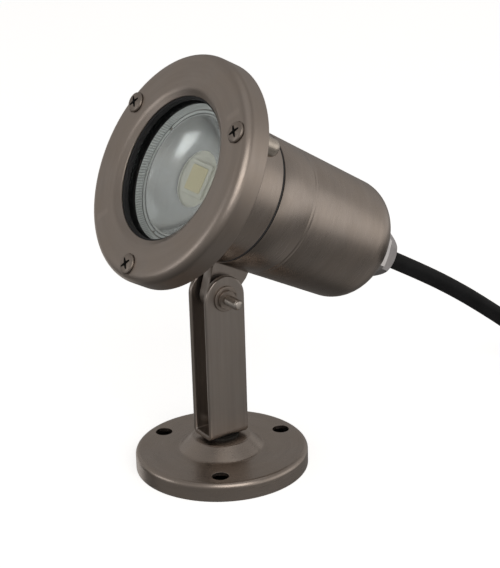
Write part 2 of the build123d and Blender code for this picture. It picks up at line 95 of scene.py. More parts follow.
# ---------------------------------------------------------------- camera
CAMERA_AT = Vector((555.032, -346.714, 325.057))
CAMERA_AHEAD = Vector((-0.782106, 0.510327, -0.357597)).normalized()
CAMERA_RIGHT = Vector((0.555140, 0.831291, -0.027819)).normalized()
CAMERA_LENS = 117.365


def make_camera():
    up = CAMERA_RIGHT.cross(CAMERA_AHEAD)
    camera = bpy.data.objects.new("camera", bpy.data.cameras.new("camera"))
    camera.data.lens = CAMERA_LENS
    camera.data.clip_start, camera.data.clip_end = 0.02, 30
    rotation = Matrix((CAMERA_RIGHT, up, -CAMERA_AHEAD)).transposed().to_4x4()
    camera.matrix_world = Matrix.Translation(CAMERA_AT * MM) @ rotation
    bpy.context.scene.collection.objects.link(camera)
    bpy.context.scene.camera = camera


# ---------------------------------------------------------------- mesh helpers
SHARP = radians(32)


def new_object(name, bm, place=None):
    """Finish a bmesh as an object: outward normals, smooth faces, sharp edges where it turns quickly."""
    bmesh.ops.remove_doubles(bm, verts=bm.verts, dist=1e-7)
    bmesh.ops.dissolve_degenerate(bm, edges=bm.edges, dist=1e-8)
    bmesh.ops.recalc_face_normals(bm, faces=bm.faces)
    mesh = bpy.data.meshes.new(name)
    bm.to_mesh(mesh)
    bm.free()
    obj = bpy.data.objects.new(name, mesh)
    bpy.context.scene.collection.objects.link(obj)
    if place is not None:
        obj.matrix_world = place
    shade(obj)
    return obj


def shade(obj, angle=SHARP):
    bm = bmesh.new()
    bm.from_mesh(obj.data)
    for face in bm.faces:
        face.smooth = True
    for edge in bm.edges:
        edge.smooth = not (len(edge.link_faces) == 2 and edge.calc_face_angle(0) > angle)
    bm.to_mesh(obj.data)
    bm.free()


def rounded(corners, steps=5):
    """A closed outline with its corners rounded. Each corner is (x, y) or (x, y, radius)."""
    points = []
    for i, corner in enumerate(corners):
        here = Vector(corner[:2])
        radius = corner[2] if len(corner) > 2 else 0
        if not radius:
            points.append(here)
            continue
        one = (Vector(corners[i - 1][:2]) - here).normalized()
        two = (Vector(corners[(i + 1) % len(corners)][:2]) - here).normalized()
        half = acos(max(-1, min(1, one.dot(two)))) / 2
        middle = here + (one + two).normalized() * radius / sin(half)
        start = here + one * radius / tan(half) - middle
        end = here + two * radius / tan(half) - middle
        sweep = start.angle_signed(end)
        count = max(2, ceil(steps * abs(sweep) / (pi / 2)))
        for k in range(count + 1):
            turn = -sweep * k / count
            points.append(middle + Vector((start.x * cos(turn) - start.y * sin(turn),
                                           start.x * sin(turn) + start.y * cos(turn))))
    return points


def lathe_mesh(outline, segments=160, ripple=None):
    """Revolve a closed outline of (radius, height) points about Z.

    ripple(i, radius, angle) gives how far the outline's point i is lifted at that angle.
    """
    bm = bmesh.new()
    rings = []
    for i, point in enumerate(outline):
        if point.x < 1e-4:
            rings.append([bm.verts.new((0, 0, point.y * MM))])
            continue
        ring = []
        for k in range(segments):
            angle = 2 * pi * k / segments
            lift = ripple(i, point.x, angle) if ripple else 0
            ring.append(bm.verts.new((point.x * cos(angle) * MM, point.x * sin(angle) * MM,
                                      (point.y + lift) * MM)))
        rings.append(ring)
    for one, two in zip(rings, rings[1:] + rings[:1]):
        for k in range(segments):
            loop = [one[k % len(one)], one[(k + 1) % len(one)], two[(k + 1) % len(two)], two[k % len(two)]]
            unique = list(dict.fromkeys(loop))
            if len(unique) > 2:
                bm.faces.new(unique)
    return bm


def lathe(name, corners, place=None, segments=160, steps=5, ripple=None):
    return new_object(name, lathe_mesh(rounded(corners, steps), segments, ripple), place)


def prism_mesh(outline, low, high, edge=0.0):
    """Solid between two heights with a flat outline, its end edges cut by edge."""
    bm = bmesh.new()
    middle = sum(outline, Vector((0, 0))) / len(outline)
    levels = [(low, 0), (high, 0)]
    if edge:
        levels = [(low, edge), (low + edge, 0), (high - edge, 0), (high, edge)]
    rings = []
    for z, inset in levels:
        ring = []
        for p in outline:
            out = p - middle
            q = middle + out * (1 - inset / max(out.length, 1e-6))
            ring.append(bm.verts.new((q.x * MM, q.y * MM, z * MM)))
        rings.append(ring)
    for one, two in zip(rings, rings[1:]):
        for k in range(len(outline)):
            j = (k + 1) % len(outline)
            bm.faces.new((one[k], one[j], two[j], two[k]))
    bm.faces.new(rings[0][::-1])
    bm.faces.new(rings[-1])
    return bm


def boolean(obj, other, operation="DIFFERENCE"):
    """Apply a boolean with another object, which is then removed."""
    modifier = obj.modifiers.new("cut", "BOOLEAN")
    modifier.operation, modifier.object, modifier.solver = operation, other, "EXACT"
    bpy.context.view_layer.update()
    result = bpy.data.meshes.new_from_object(obj.evaluated_get(bpy.context.evaluated_depsgraph_get()))
    obj.modifiers.remove(modifier)
    obj.data = result
    bpy.data.objects.remove(other)
    shade(obj)
    return obj


def drill(obj, radius, low, high, at=Matrix.Identity(4), flare=0.0):
    """Round hole along the local z of at, opened by flare at its high end."""
    corners = [(0, low), (radius, low), (radius, high), (0, high)]
    if flare:
        wide = radius + flare
        corners = [(0, low), (radius, low), (radius, high - flare), (wide, high), (wide, high + 1),
                   (0, high + 1)]
    place = (obj.matrix_world if obj.matrix_world else Matrix.Identity(4)) @ at
    return boolean(obj, lathe("cutter", corners, place, 48))


def hex_outline(across_flats, turn=0.0):
    reach = across_flats / 2 / cos(pi / 6)
    return [Vector((reach * cos(turn + i * pi / 3 + pi / 6), reach * sin(turn + i * pi / 3 + pi / 6)))
            for i in range(6)]


def hexagon(name, across_flats, low, high, place, chamfer=0.45, dome=None, turn=0.0):
    """Hexagon nut or head: a prism whose corners are turned off by a cone at both ends, or by a dome."""
    body = new_object(name, prism_mesh(hex_outline(across_flats, turn), low, high), place)
    flat, corner = across_flats / 2 * 0.98, across_flats / 2 / cos(pi / 6)
    turned = dome or [(0, low), (flat, low), (corner + 0.1, low + chamfer), (corner + 0.1, high - chamfer),
                      (flat, high), (0, high)]
    return boolean(body, lathe("turned", turned, place, 96), "INTERSECT")


def threaded(name, radius, low, high, place, pitch=0.7, segments=48):
    """Screw thread: a rod whose radius follows a helix, with a rounded lead at its high end."""
    rows = int((high - low) / pitch * 8)
    bm = bmesh.new()
    rings = []
    for i in range(rows + 1):
        z = low + (high - low) * i / rows
        lead = min(1, max(0, (high - z) / (1.2 * pitch)))
        ring = []
        for k in range(segments):
            phase = (z / pitch - k / segments) % 1
            depth = abs(phase - 0.5) * 2
            r = radius - 0.3 * pitch * (1 - depth) - 0.35 * radius * (1 - lead) ** 2
            turn = 2 * pi * k / segments
            ring.append(bm.verts.new((r * cos(turn) * MM, r * sin(turn) * MM, z * MM)))
        rings.append(ring)
    for one, two in zip(rings, rings[1:]):
        for k in range(segments):
            j = (k + 1) % segments
            bm.faces.new((one[k], one[j], two[j], two[k]))
    bm.faces.new(rings[0][::-1])
    bm.faces.new(rings[-1])
    return new_object(name, bm, place)


def join(name, objects):
    """One object from several, in the first one's place."""
    first = objects[0]
    bm = bmesh.new()
    inverse = first.matrix_world.inverted()
    for obj in objects:
        start = len(bm.verts)
        bm.from_mesh(obj.data)
        bm.verts.ensure_lookup_table()
        move = inverse @ obj.matrix_world
        for vert in bm.verts[start:]:
            vert.co = move @ vert.co
    place = first.matrix_world.copy()
    for obj in objects:
        bpy.data.objects.remove(obj)
    mesh = bpy.data.meshes.new(name)
    bm.to_mesh(mesh)
    bm.free()
    joined = bpy.data.objects.new(name, mesh)
    bpy.context.scene.collection.objects.link(joined)
    joined.matrix_world = place
    return joined


def turned_place(radius, angle, place=Matrix.Identity(4)):
    """A place on a circle about the local z of place, in mm and degrees."""
    turn = radians(angle)
    return place @ Matrix.Translation((radius * cos(turn) * MM, radius * sin(turn) * MM, 0))


def smooth_steps(points, gap=0.25, least=1.2):
    """Extra points near both ends of each long straight run, so that flat faces shade flat."""
    result = []
    for one, two in zip(points, points[1:] + points[:1]):
        result.append(one)
        run = two - one
        if run.length > least:
            result += [one + run.normalized() * gap, two - run.normalized() * gap]
    return result


def tube_mesh(path, radius, sides=24, round_ends=(True, True)):
    """Round tube along a list of points in metres, its ends slightly rounded."""
    points = [Vector(p) for p in path]
    last = len(points) - 1
    tangents = [(points[min(i + 1, last)] - points[max(i - 1, 0)]).normalized() for i in range(last + 1)]
    normal = tangents[0].orthogonal().normalized()
    stations = []
    for i, (p, t) in enumerate(zip(points, tangents)):
        normal = (normal - t * normal.dot(t)).normalized()
        stations.append((p, t, normal.copy(), radius))
    soft = radius * 0.12
    if round_ends[0]:
        p, t, n, r = stations[0]
        stations[0:1] = [(p, t, n, r - soft), (p + t * soft * 0.3, t, n, r - soft * 0.3),
                         (p + t * soft, t, n, r)]
    if round_ends[1]:
        p, t, n, r = stations[-1]
        stations[-1:] = [(p - t * soft, t, n, r), (p - t * soft * 0.3, t, n, r - soft * 0.3),
                         (p, t, n, r - soft)]
    bm = bmesh.new()
    rings = []
    for p, t, n, r in stations:
        side = t.cross(n)
        rings.append([bm.verts.new(p + (n * cos(2 * pi * k / sides) + side * sin(2 * pi * k / sides)) * r)
                      for k in range(sides)])
    for one, two in zip(rings, rings[1:]):
        for k in range(sides):
            j = (k + 1) % sides
            bm.faces.new((one[k], one[j], two[j], two[k]))
    bm.faces.new(rings[0][::-1])
    bm.faces.new(rings[-1])
    return bm


def along_curve(points, resolution=6):
    """Points along the quadratic NURBS line whose control points, in metres, are given."""
    data = bpy.data.curves.new("route", "CURVE")
    data.dimensions = "3D"
    spline = data.splines.new("NURBS")
    spline.points.add(len(points) - 1)
    for point, place in zip(spline.points, points):
        point.co = (*place, 1)
    spline.order_u, spline.use_endpoint_u, spline.resolution_u = 3, True, resolution
    route = bpy.data.objects.new("route", data)
    bpy.context.scene.collection.objects.link(route)
    bpy.context.view_layer.update()
    mesh = bpy.data.meshes.new_from_object(route)
    line = [v.co.copy() for v in mesh.vertices]
    bpy.data.objects.remove(route)
    return line


# ---------------------------------------------------------------- materials
def add(tree, kind, inputs=None, **settings):
    node = tree.nodes.new(kind)
    for key, value in settings.items():
        setattr(node, key, value)
    for key, value in (inputs or {}).items():
        if isinstance(value, bpy.types.NodeSocket):
            tree.links.new(value, node.inputs[key])
        else:
            node.inputs[key].default_value = value
    return node


def maths(tree, operation, one, two=0.0, clamp=False):
    node = add(tree, "ShaderNodeMath", {0: one, 1: two}, operation=operation)
    node.use_clamp = clamp
    return node.outputs[0]


def in_mm(tree):
    """Object coordinates in millimetres, so that patterns keep their real size."""
    coords = add(tree, "ShaderNodeTexCoord").outputs["Object"]
    return add(tree, "ShaderNodeVectorMath", {0: coords, "Scale": 1000.0}, operation="SCALE").outputs[0]


def noise(tree, vector, scale, detail=4.0, rough=0.6, w=None):
    settings = {"noise_dimensions": "4D" if w is not None else "3D"}
    inputs = {"Vector": vector, "Scale": scale, "Detail": detail, "Roughness": rough}
    if w is not None:
        inputs["W"] = w
    return add(tree, "ShaderNodeTexNoise", inputs, **settings).outputs[0]


def spread(tree, value, low, high, out_low, out_high):
    return add(tree, "ShaderNodeMapRange", {"Value": value, "From Min": low, "From Max": high,
                                            "To Min": out_low, "To Max": out_high}).outputs[0]


def blend_colour(tree, factor, one, two, mode="MIX"):
    node = add(tree, "ShaderNodeMix", data_type="RGBA", blend_type=mode)
    for key, value in ((0, factor), (6, one), (7, two)):
        if isinstance(value, bpy.types.NodeSocket):
            tree.links.new(value, node.inputs[key])
        else:
            node.inputs[key].default_value = value
    return node.outputs[2]


def rgb(*c):
    return (*c, 1.0)


def start(name):
    material = bpy.data.materials.new(name)
    material.use_nodes = True
    tree = material.node_tree
    return material, tree, tree.nodes["Principled BSDF"]


def bump(tree, height, distance_mm, strength=1.0):
    return add(tree, "ShaderNodeBump", {"Height": height, "Distance": distance_mm * MM,
                                        "Strength": strength}).outputs[0]


def polar(tree, point):
    """Radius, angle and height of a point about the local z axis."""
    x, y, z = add(tree, "ShaderNodeSeparateXYZ", {0: point}).outputs
    squares = maths(tree, "ADD", maths(tree, "MULTIPLY", x, x), maths(tree, "MULTIPLY", y, y))
    return maths(tree, "SQRT", squares), maths(tree, "ARCTAN2", y, x), z


def streaks_round(tree, point, per_mm, length):
    """Noise drawn out round the local z axis: per_mm across the streaks, length sets how short they are."""
    radius, angle, height = polar(tree, point)
    across = maths(tree, "MULTIPLY", radius, per_mm)
    depth = maths(tree, "MULTIPLY", height, per_mm)
    turn = [maths(tree, "MULTIPLY", maths(tree, wave, angle), length) for wave in ("COSINE", "SINE")]
    vector = add(tree, "ShaderNodeCombineXYZ", {0: across, 1: depth, 2: turn[0]}).outputs[0]
    return noise(tree, vector, 1.0, 5.0, 0.65, w=turn[1])


def streaks_along(tree, point, stretch):
    """Noise drawn out along one direction: stretch is the scale along x, y and z, per mm."""
    scaled = add(tree, "ShaderNodeVectorMath", {0: point, 1: stretch}, operation="MULTIPLY").outputs[0]
    return noise(tree, scaled, 1.0, 5.0, 0.65)


def metal(name, colour, rough, brushing="round", grain=2.2, depth_mm=0.012, wear=0.12,
          stretch=(2.5, 2.5, 0.06), uneven=1.0):
    """Metal with brushing, cloudy colour, small scratches and worn bright edges."""
    material, tree, bsdf = start(name)
    point = in_mm(tree)
    if brushing == "round":
        fine = streaks_round(tree, point, grain, 6.0)
        broad = streaks_round(tree, point, grain * 0.13, 1.4)
    elif brushing == "along":
        fine = streaks_along(tree, point, stretch)
        broad = streaks_along(tree, point, tuple(s * 0.15 for s in stretch))
    else:
        fine = noise(tree, point, grain, 6.0, 0.7)
        broad = noise(tree, point, grain * 0.1, 3.0, 0.6)
    cloud = noise(tree, point, 0.07, 3.0, 0.55)
    drawn = add(tree, "ShaderNodeVectorMath", {0: point, 1: (0.9, 0.12, 0.5)},
                operation="MULTIPLY").outputs[0]
    scratch = add(tree, "ShaderNodeTexVoronoi", {"Vector": drawn, "Scale": 1.3},
                  feature="DISTANCE_TO_EDGE").outputs["Distance"]
    scratched = spread(tree, scratch, 0.0, 0.012, 1.0, 0.0)
    patch = spread(tree, noise(tree, point, 0.16, 2.0), 0.56, 0.66, 0.0, 1.0)
    marks = maths(tree, "MULTIPLY", scratched, patch)
    dark = rgb(*(c * (1 - wear) for c in colour))
    light = rgb(*(min(1, c * (1 + wear)) for c in colour))
    shade_mix = blend_colour(tree, spread(tree, broad, 0.3, 0.7, 0, 1), dark, light)
    shade_mix = blend_colour(tree, spread(tree, cloud, 0.35, 0.7, 0.0, 0.45), shade_mix,
                             rgb(colour[0] * 0.98, colour[1] * 0.93, colour[2] * 0.86))
    edge = add(tree, "ShaderNodeNewGeometry").outputs["Pointiness"]
    edges = spread(tree, edge, 0.55, 0.66, 0.0, 0.2)
    shade_mix = blend_colour(tree, edges, shade_mix, rgb(*(min(1, c * 1.5) for c in colour)))
    tree.links.new(shade_mix, bsdf.inputs["Base Color"])
    brushed = spread(tree, fine, 0.3, 0.7, rough - 0.06 * uneven, rough + 0.07 * uneven)
    roughness = maths(tree, "ADD", brushed, maths(tree, "MULTIPLY", cloud, 0.06 * uneven))
    roughness = maths(tree, "ADD", roughness, maths(tree, "MULTIPLY", marks, 0.12 * uneven))
    tree.links.new(roughness, bsdf.inputs["Roughness"])
    height = maths(tree, "SUBTRACT", fine, maths(tree, "MULTIPLY", marks, 0.8))
    tree.links.new(bump(tree, height, depth_mm), bsdf.inputs["Normal"])
    bsdf.inputs["Metallic"].default_value = 1.0
    return material


def dielectric(name, colour, rough, grain=1.5, depth_mm=0.02, contrast=0.15, specular=0.5, coat=0.0,
               second=None, dust=0.0):
    """Rubber, plastic, ceramic or paint: mottled colour, uneven gloss, fine grain and a little dust."""
    material, tree, bsdf = start(name)
    point = in_mm(tree)
    fine = noise(tree, point, grain, 6.0, 0.7)
    cloud = noise(tree, point, 0.12, 4.0, 0.6)
    dark = rgb(*(c * (1 - contrast) for c in colour))
    light = rgb(*(min(1, c * (1 + contrast)) for c in colour))
    mix = blend_colour(tree, spread(tree, cloud, 0.3, 0.7, 0, 1), dark, light)
    if second:
        mix = blend_colour(tree, spread(tree, fine, 0.45, 0.62, 0, 1), mix, rgb(*second))
    if dust:
        specks = spread(tree, noise(tree, point, 0.9, 8.0, 0.75), 0.6, 0.75, 0.0, dust)
        mix = blend_colour(tree, specks, mix, rgb(0.35, 0.33, 0.3))
    tree.links.new(mix, bsdf.inputs["Base Color"])
    tree.links.new(spread(tree, fine, 0.3, 0.7, rough - 0.07, rough + 0.08), bsdf.inputs["Roughness"])
    tree.links.new(bump(tree, fine, depth_mm), bsdf.inputs["Normal"])
    bsdf.inputs["Specular IOR Level"].default_value = specular
    bsdf.inputs["Coat Weight"].default_value = coat
    bsdf.inputs["Coat Roughness"].default_value = 0.12
    return material


def ribbed_ring():
    """Moulded grey ring: painted shade in the hollows between the slanting ribs of its band and down in its
    groove.
    """
    material = dielectric("grey_ring", (0.76, 0.78, 0.78), 0.42, grain=3.0, depth_mm=0.015, contrast=0.06)
    tree = material.node_tree
    bsdf = tree.nodes["Principled BSDF"]
    plain = bsdf.inputs["Base Color"].links[0].from_socket
    radius, angle, _ = polar(tree, in_mm(tree))
    turn = maths(tree, "MULTIPLY", angle, float(RIBS))
    wave = maths(tree, "SINE", maths(tree, "ADD", turn, maths(tree, "MULTIPLY", radius, RIB_SLANT)))

    def off(middle):
        return maths(tree, "ABSOLUTE", maths(tree, "SUBTRACT", radius, middle))

    band = spread(tree, off(26.1), 0.55, 0.62, 1, 0)
    # painted shade: the hollows between the modelled ribs are darkened towards dark grey
    hollows = maths(tree, "MULTIPLY", band, spread(tree, wave, -0.5, 0.6, 0.42, 0))
    # painted shade: the groove is painted nearly black
    groove = spread(tree, off(25.14), 0.2, 0.32, 0.93, 0)
    shaded = blend_colour(tree, hollows, plain, rgb(0.14, 0.14, 0.14))
    shaded = blend_colour(tree, groove, shaded, rgb(0.02, 0.02, 0.02))
    tree.links.new(shaded, bsdf.inputs["Base Color"])
    return material


def glass_material():
    """Clear toughened glass: lets light straight through, with the front's own reflection."""
    material, tree, bsdf = start("clear_glass")
    point = in_mm(tree)
    smear = noise(tree, point, 0.05, 3.0, 0.6)
    layer = add(tree, "ShaderNodeLayerWeight", {"Blend": 0.35}).outputs["Fresnel"]
    factor = maths(tree, "ADD", maths(tree, "MULTIPLY", layer, 0.22), 0.012, clamp=True)
    clear = add(tree, "ShaderNodeBsdfTransparent", {"Color": rgb(0.965, 0.98, 0.975)})
    bsdf.inputs["Base Color"].default_value = rgb(0.9, 0.93, 0.93)
    bsdf.inputs["Metallic"].default_value = 1.0
    tree.links.new(spread(tree, smear, 0.3, 0.7, 0.02, 0.08), bsdf.inputs["Roughness"])
    mixed = add(tree, "ShaderNodeMixShader", {0: factor})
    tree.links.new(clear.outputs[0], mixed.inputs[1])
    tree.links.new(bsdf.outputs[0], mixed.inputs[2])
    output = next(n for n in tree.nodes if n.type == "OUTPUT_MATERIAL")
    tree.links.new(mixed.outputs[0], output.inputs["Surface"])
    return material


RIBS, RIB_SLANT = 150, 3.2
STEEL = (0.44, 0.385, 0.345)
MATERIAL = {
    "stainless": metal("stainless", STEEL, 0.27, grain=2.4, depth_mm=0.007, wear=0.08),
    "bezel_steel": metal("bezel_steel", STEEL, 0.34, grain=2.4, depth_mm=0.008, wear=0.07),
    "boss_steel": metal("boss_steel", (0.66, 0.60, 0.53), 0.26, "none", grain=3.0, depth_mm=0.008),
    "screw_steel": metal("screw_steel", (0.36, 0.315, 0.28), 0.42, "none", grain=3.0, depth_mm=0.012),
    "gasket_rubber": dielectric("gasket_rubber", (0.014, 0.014, 0.015), 0.6, grain=2.0, specular=0.35),
    "stainless_bracket": metal("stainless_bracket", (0.40, 0.36, 0.33), 0.33, "along", depth_mm=0.010),
    "fastener": metal("fastener", (0.56, 0.52, 0.48), 0.27, "none", grain=3.0, depth_mm=0.008),
    "gland_metal": metal("gland_metal", (0.88, 0.86, 0.865), 0.42, "none", grain=4.0, depth_mm=0.010),
    "gland_cap": metal("gland_cap", (0.66, 0.64, 0.65), 0.40, "round", grain=3.0, depth_mm=0.012),
    "aluminium": metal("aluminium", (0.72, 0.72, 0.73), 0.38, "along", stretch=(0.08, 2.0, 2.0)),
    "reflector_metal": metal("reflector_metal", (0.84, 0.85, 0.87), 0.20, grain=0.8, depth_mm=0.0015,
                             wear=0.02, uneven=0.25),
    "copper": metal("copper", (0.85, 0.45, 0.28), 0.3, "none"),
    "black_rubber": dielectric("black_rubber", (0.014, 0.014, 0.015), 0.55, grain=2.0, dust=0.12),
    "cable_rubber": dielectric("cable_rubber", (0.006, 0.006, 0.0065), 0.48, grain=0.8, contrast=0.3,
                               specular=0.14, dust=0.05),
    "grey_ring": ribbed_ring(),
    "ceramic_board": dielectric("ceramic_board", (0.88, 0.86, 0.76), 0.4, grain=5.0, contrast=0.05),
    "phosphor": dielectric("phosphor", (0.92, 0.80, 0.48), 0.35, grain=3.0, contrast=0.06, coat=0.4,
                           second=(0.94, 0.84, 0.54)),
    "circuit_board": dielectric("circuit_board", (0.03, 0.16, 0.07), 0.35, grain=0.7, contrast=0.2,
                                coat=0.3),
    "electronic_parts": dielectric("electronic_parts", (0.07, 0.07, 0.08), 0.45, grain=3.0, contrast=0.2),
    "lead_wire": dielectric("lead_wire", (0.5, 0.05, 0.04), 0.35, coat=0.2),
    "fibre": dielectric("fibre", (0.018, 0.016, 0.014), 0.8, grain=1.2, specular=0.2,
                        second=(0.03, 0.027, 0.024)),
    "core_brown": dielectric("core_brown", (0.22, 0.09, 0.035), 0.35, coat=0.2),
    "core_blue": dielectric("core_blue", (0.03, 0.10, 0.38), 0.35, coat=0.2),
    "core_green": dielectric("core_green", (0.42, 0.44, 0.03), 0.35, grain=0.25, coat=0.2,
                             second=(0.03, 0.28, 0.06)),
    # near black, used only as painted shade: in the screws' cross recesses and on the disc under the base
    "dark": dielectric("dark", (0.01, 0.01, 0.01), 0.7),
    "clear_glass": glass_material(),
}


def place_piece(obj, body, slot, *nodes, material=None):
    """Material (the slot's unless given) and body for a finished piece; hides the CAD nodes it stands for."""
    obj.data.materials.clear()
    obj.data.materials.append(MATERIAL[material or slot])
    if body:
        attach(obj, body)
    if nodes:
        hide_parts(*nodes)
    return obj


# ---------------------------------------------------------------- base
BASE_R, RIM_Z, BOSS_TOP_Z = 33.7, 7.5, 12.3
BASE_SHEET = 1.5


def make_base():
    inside_r, inside_z, boss_in = BASE_R - BASE_SHEET, RIM_Z - BASE_SHEET, 10.8
    outline = rounded([
        (2.6, boss_in), (2.6, BOSS_TOP_Z, 0.2), (11.3, BOSS_TOP_Z, 1.2), (16.5, RIM_Z, 1.5),
        (BASE_R, RIM_Z, 2.0), (BASE_R, 0, 0.3), (inside_r, 0, 0.3), (inside_r, inside_z, 0.5),
        (15.4, inside_z, 2.4), (10.2, boss_in, 0.4)], 8)
    base = new_object("base_flange_look", lathe_mesh(smooth_steps(outline), 160))
    for k in range(3):
        drill(base, 3.3, 4, RIM_Z, turned_place(26.8, -34 + 120 * k), flare=0.1)
    place_piece(base, "base", "stainless", "base_flange")
    outline = rounded([
        (0, 2.6), (2.5, 2.6, 0.6), (2.5, 15.4), (3.9, 15.4, 0.2), (3.9, 18.6, 0.9), (1.9, 18.6, 0.15),
        (1.9, 17.9), (0, 17.9)], 6)
    bolt = new_object("pan_bolt_look", lathe_mesh(outline, 64))
    cutter = new_object("socket", prism_mesh(hex_outline(3.0), 16.8, 19.6))
    boolean(bolt, cutter)
    place_piece(bolt, "base", "fastener", "pan_bolt")


# ---------------------------------------------------------------- yoke and tilt bolt
PIVOT_Z = PIVOT.z / MM
YOKE_HALF_W, YOKE_HALF_X, YOKE_T, FLOOR_Z, BEND_R = 8.6, 6.4, 2.0, 13.3, 2.6


def yoke_stations():
    """(x, z, outward x, outward z, half width) round the U, from one arm's tip to the other's."""
    arm = []
    for i in range(14):
        a = radians(90 * (1 - (i / 14) ** 1.3))
        arm.append((PIVOT_Z + YOKE_HALF_W * sin(a), YOKE_HALF_W * cos(a)))
    arm += [(z, YOKE_HALF_W) for z in np.linspace(PIVOT_Z, FLOOR_Z + BEND_R + 0.3, 12)]
    side = [(YOKE_HALF_X, z, 1, 0, w) for z, w in arm]
    bend = []
    for i in range(9):
        a = radians(90 * i / 8)
        bend.append((YOKE_HALF_X - BEND_R + BEND_R * cos(a), FLOOR_Z + BEND_R - BEND_R * sin(a),
                     cos(a), -sin(a), YOKE_HALF_W))
    half = side + bend + [(x, FLOOR_Z, 0, -1, YOKE_HALF_W) for x in (YOKE_HALF_X - BEND_R - 0.3, 1.5)]
    return half + [(-x, z, -nx, nz, w) for x, z, nx, nz, w in reversed(half)]


def make_yoke():
    bm = bmesh.new()
    rings = []
    soft = 0.5
    for x, z, nx, nz, w in yoke_stations():
        ring = []
        c = min(soft, w * 0.6)
        inner = w - c - min(0.5, w * 0.3)
        section = [(0, inner), (0, w - c), (c * 0.3, w - c * 0.3), (c, w), (YOKE_T - c, w),
                   (YOKE_T - c * 0.3, w - c * 0.3), (YOKE_T, w - c), (YOKE_T, inner)]
        section += [(d, -y) for d, y in reversed(section)]
        for depth, y in section:
            ring.append(bm.verts.new(((x - nx * depth) * MM, y * MM, (z - nz * depth) * MM)))
        rings.append(ring)
    count = len(rings[0])
    for one, two in zip(rings, rings[1:]):
        for k in range(count):
            j = (k + 1) % count
            bm.faces.new((one[k], one[j], two[j], two[k]))
    bm.faces.new(rings[0][::-1])
    bm.faces.new(rings[-1])
    yoke = new_object("yoke_look", bm)
    drill(yoke, 2.05, -12, 12, TILT_AXIS)
    drill(yoke, 2.6, 11, 17)
    place_piece(yoke, "yoke", "stainless_bracket", "yoke")


def make_tilt_bolt():
    bolt = threaded("thread", 2.0, 5.0, 15.8, TILT_AXIS)
    shank = lathe("shank", [(0, -7.6), (2.0, -7.6), (2.0, 5.2), (0, 5.2)], TILT_AXIS, 48)
    head = hexagon("head", 7.0, -10.2, -7.4, TILT_AXIS)
    place_piece(join("tilt_bolt_look", [shank, bolt, head]), "yoke", "fastener", "tilt_bolt")
    washers = []
    for low in (6.45, -7.3):
        outline = [(2.1, low, 0.1), (5.0, low, 0.2), (5.0, low + 0.8, 0.2), (2.1, low + 0.8, 0.1)]
        washers.append(lathe("washer", outline, TILT_AXIS, 72))
    joined = join("tilt_washers_look", washers)
    place_piece(joined, "yoke", "fastener", "tilt_washers", material="screw_steel")
    outline = [(2.1, 7.35, 0.15), (3.7, 7.35, 0.15), (3.7, 8.3, 0.15), (2.1, 8.3, 0.15)]
    spring = lathe("tilt_spring_washer_look", outline, TILT_AXIS, 64)
    gap = [Vector(p) for p in ((1.5, -0.35), (4.5, -0.35), (4.5, 0.35), (1.5, 0.35))]
    slit = new_object("slit", prism_mesh(gap, 6, 10), TILT_AXIS @ Matrix.Rotation(0.4, 4, "X"))
    boolean(spring, slit)
    place_piece(spring, "yoke", "fastener", "tilt_spring_washer", material="screw_steel")
    nut = hexagon("tilt_nut_look", 7.0, 8.4, 10.4, TILT_AXIS)
    drill(nut, 2.02, 8, 12, TILT_AXIS)
    place_piece(nut, "yoke", "fastener", "tilt_nut", material="screw_steel")


# ---------------------------------------------------------------- front of the lamp
SCREW_PCR, SCREW_TURN = 38.2, -33
BEZEL_EDGE = 44.0


def screw_places():
    return [turned_place(SCREW_PCR, SCREW_TURN - 120 * k) for k in range(3)]


def make_bezel():
    outline = rounded([
        (27.7, 2.4), (27.7, 1.9, 0.25), (30.3, 0.25, 4.0), (33.6, 0, 9.0), (40.3, 0, 6.0),
        (BEZEL_EDGE, 0.55, 3.4), (BEZEL_EDGE, 10.6, 0.4), (42.5, 10.6, 0.4), (42.5, 1.9, 0.5),
        (30.2, 1.9, 0.3), (29.2, 2.4, 0.2)], 12)
    bezel = new_object("bezel_look", lathe_mesh(smooth_steps(outline), 192), LAMP)
    for place in screw_places():
        drill(bezel, 2.15, -3, 5, place)
        drill(bezel, 4.15, -3, 0.35, place)
    place_piece(bezel, "head", "stainless", "bezel", material="bezel_steel")


def make_screws():
    screws = []
    for place in screw_places():
        spot = LAMP @ place
        head = lathe("head", [(0, -1.3), (3.0, -1.22), (3.9, -0.75, 0.5), (3.9, -0.03, 0.12), (2.0, -0.03),
                              (2.0, 16.0, 0.5), (0, 16.0)], spot, 64)
        for turn in (45, 135):
            arm = [(-2.5, -0.32), (-0.8, -0.6), (0.8, -0.6), (2.5, -0.32),
                   (2.5, 0.32), (0.8, 0.6), (-0.8, 0.6), (-2.5, 0.32)]
            cutter = new_object("cross", prism_mesh([Vector(p) for p in arm], -1.9, 0.3),
                                spot @ Matrix.Rotation(radians(turn), 4, "Z"))
            boolean(head, cutter)
        screws.append(head)
    joined = join("bezel_screws_look", screws)
    place_piece(joined, "head", "fastener", "bezel_screws", material="screw_steel")
    # painted shade: the faces down in each cross recess get the near-black material
    joined.data.materials.append(MATERIAL["dark"])
    spots = [(joined.matrix_world.inverted() @ LAMP @ place).inverted() for place in screw_places()]
    for face in joined.data.polygons:
        local = min((spot @ face.center for spot in spots), key=lambda p: hypot(p.x, p.y))
        if hypot(local.x, local.y) < 2.6 * MM and -1.1 * MM < local.z < 1 * MM:
            face.material_index = 1


def make_glass_stack():
    gasket = lathe("lens_gasket_look", [
        (26.9, 2.45, 0.5), (29.3, 2.45), (29.3, 1.95), (33.4, 1.95), (33.4, 9.3), (26.9, 9.3, 0.3),
        (26.9, 7.8), (32.0, 7.8), (32.0, 4.6), (26.9, 4.6)], LAMP, 144)
    place_piece(gasket, "head", "black_rubber", "lens_gasket", material="gasket_rubber")
    glass = lathe("front_glass_look", [(0, 4.7), (31.9, 4.7, 0.4), (31.9, 7.7, 0.4), (0, 7.7)], LAMP, 144)
    place_piece(glass, "head", "clear_glass", "front_glass")


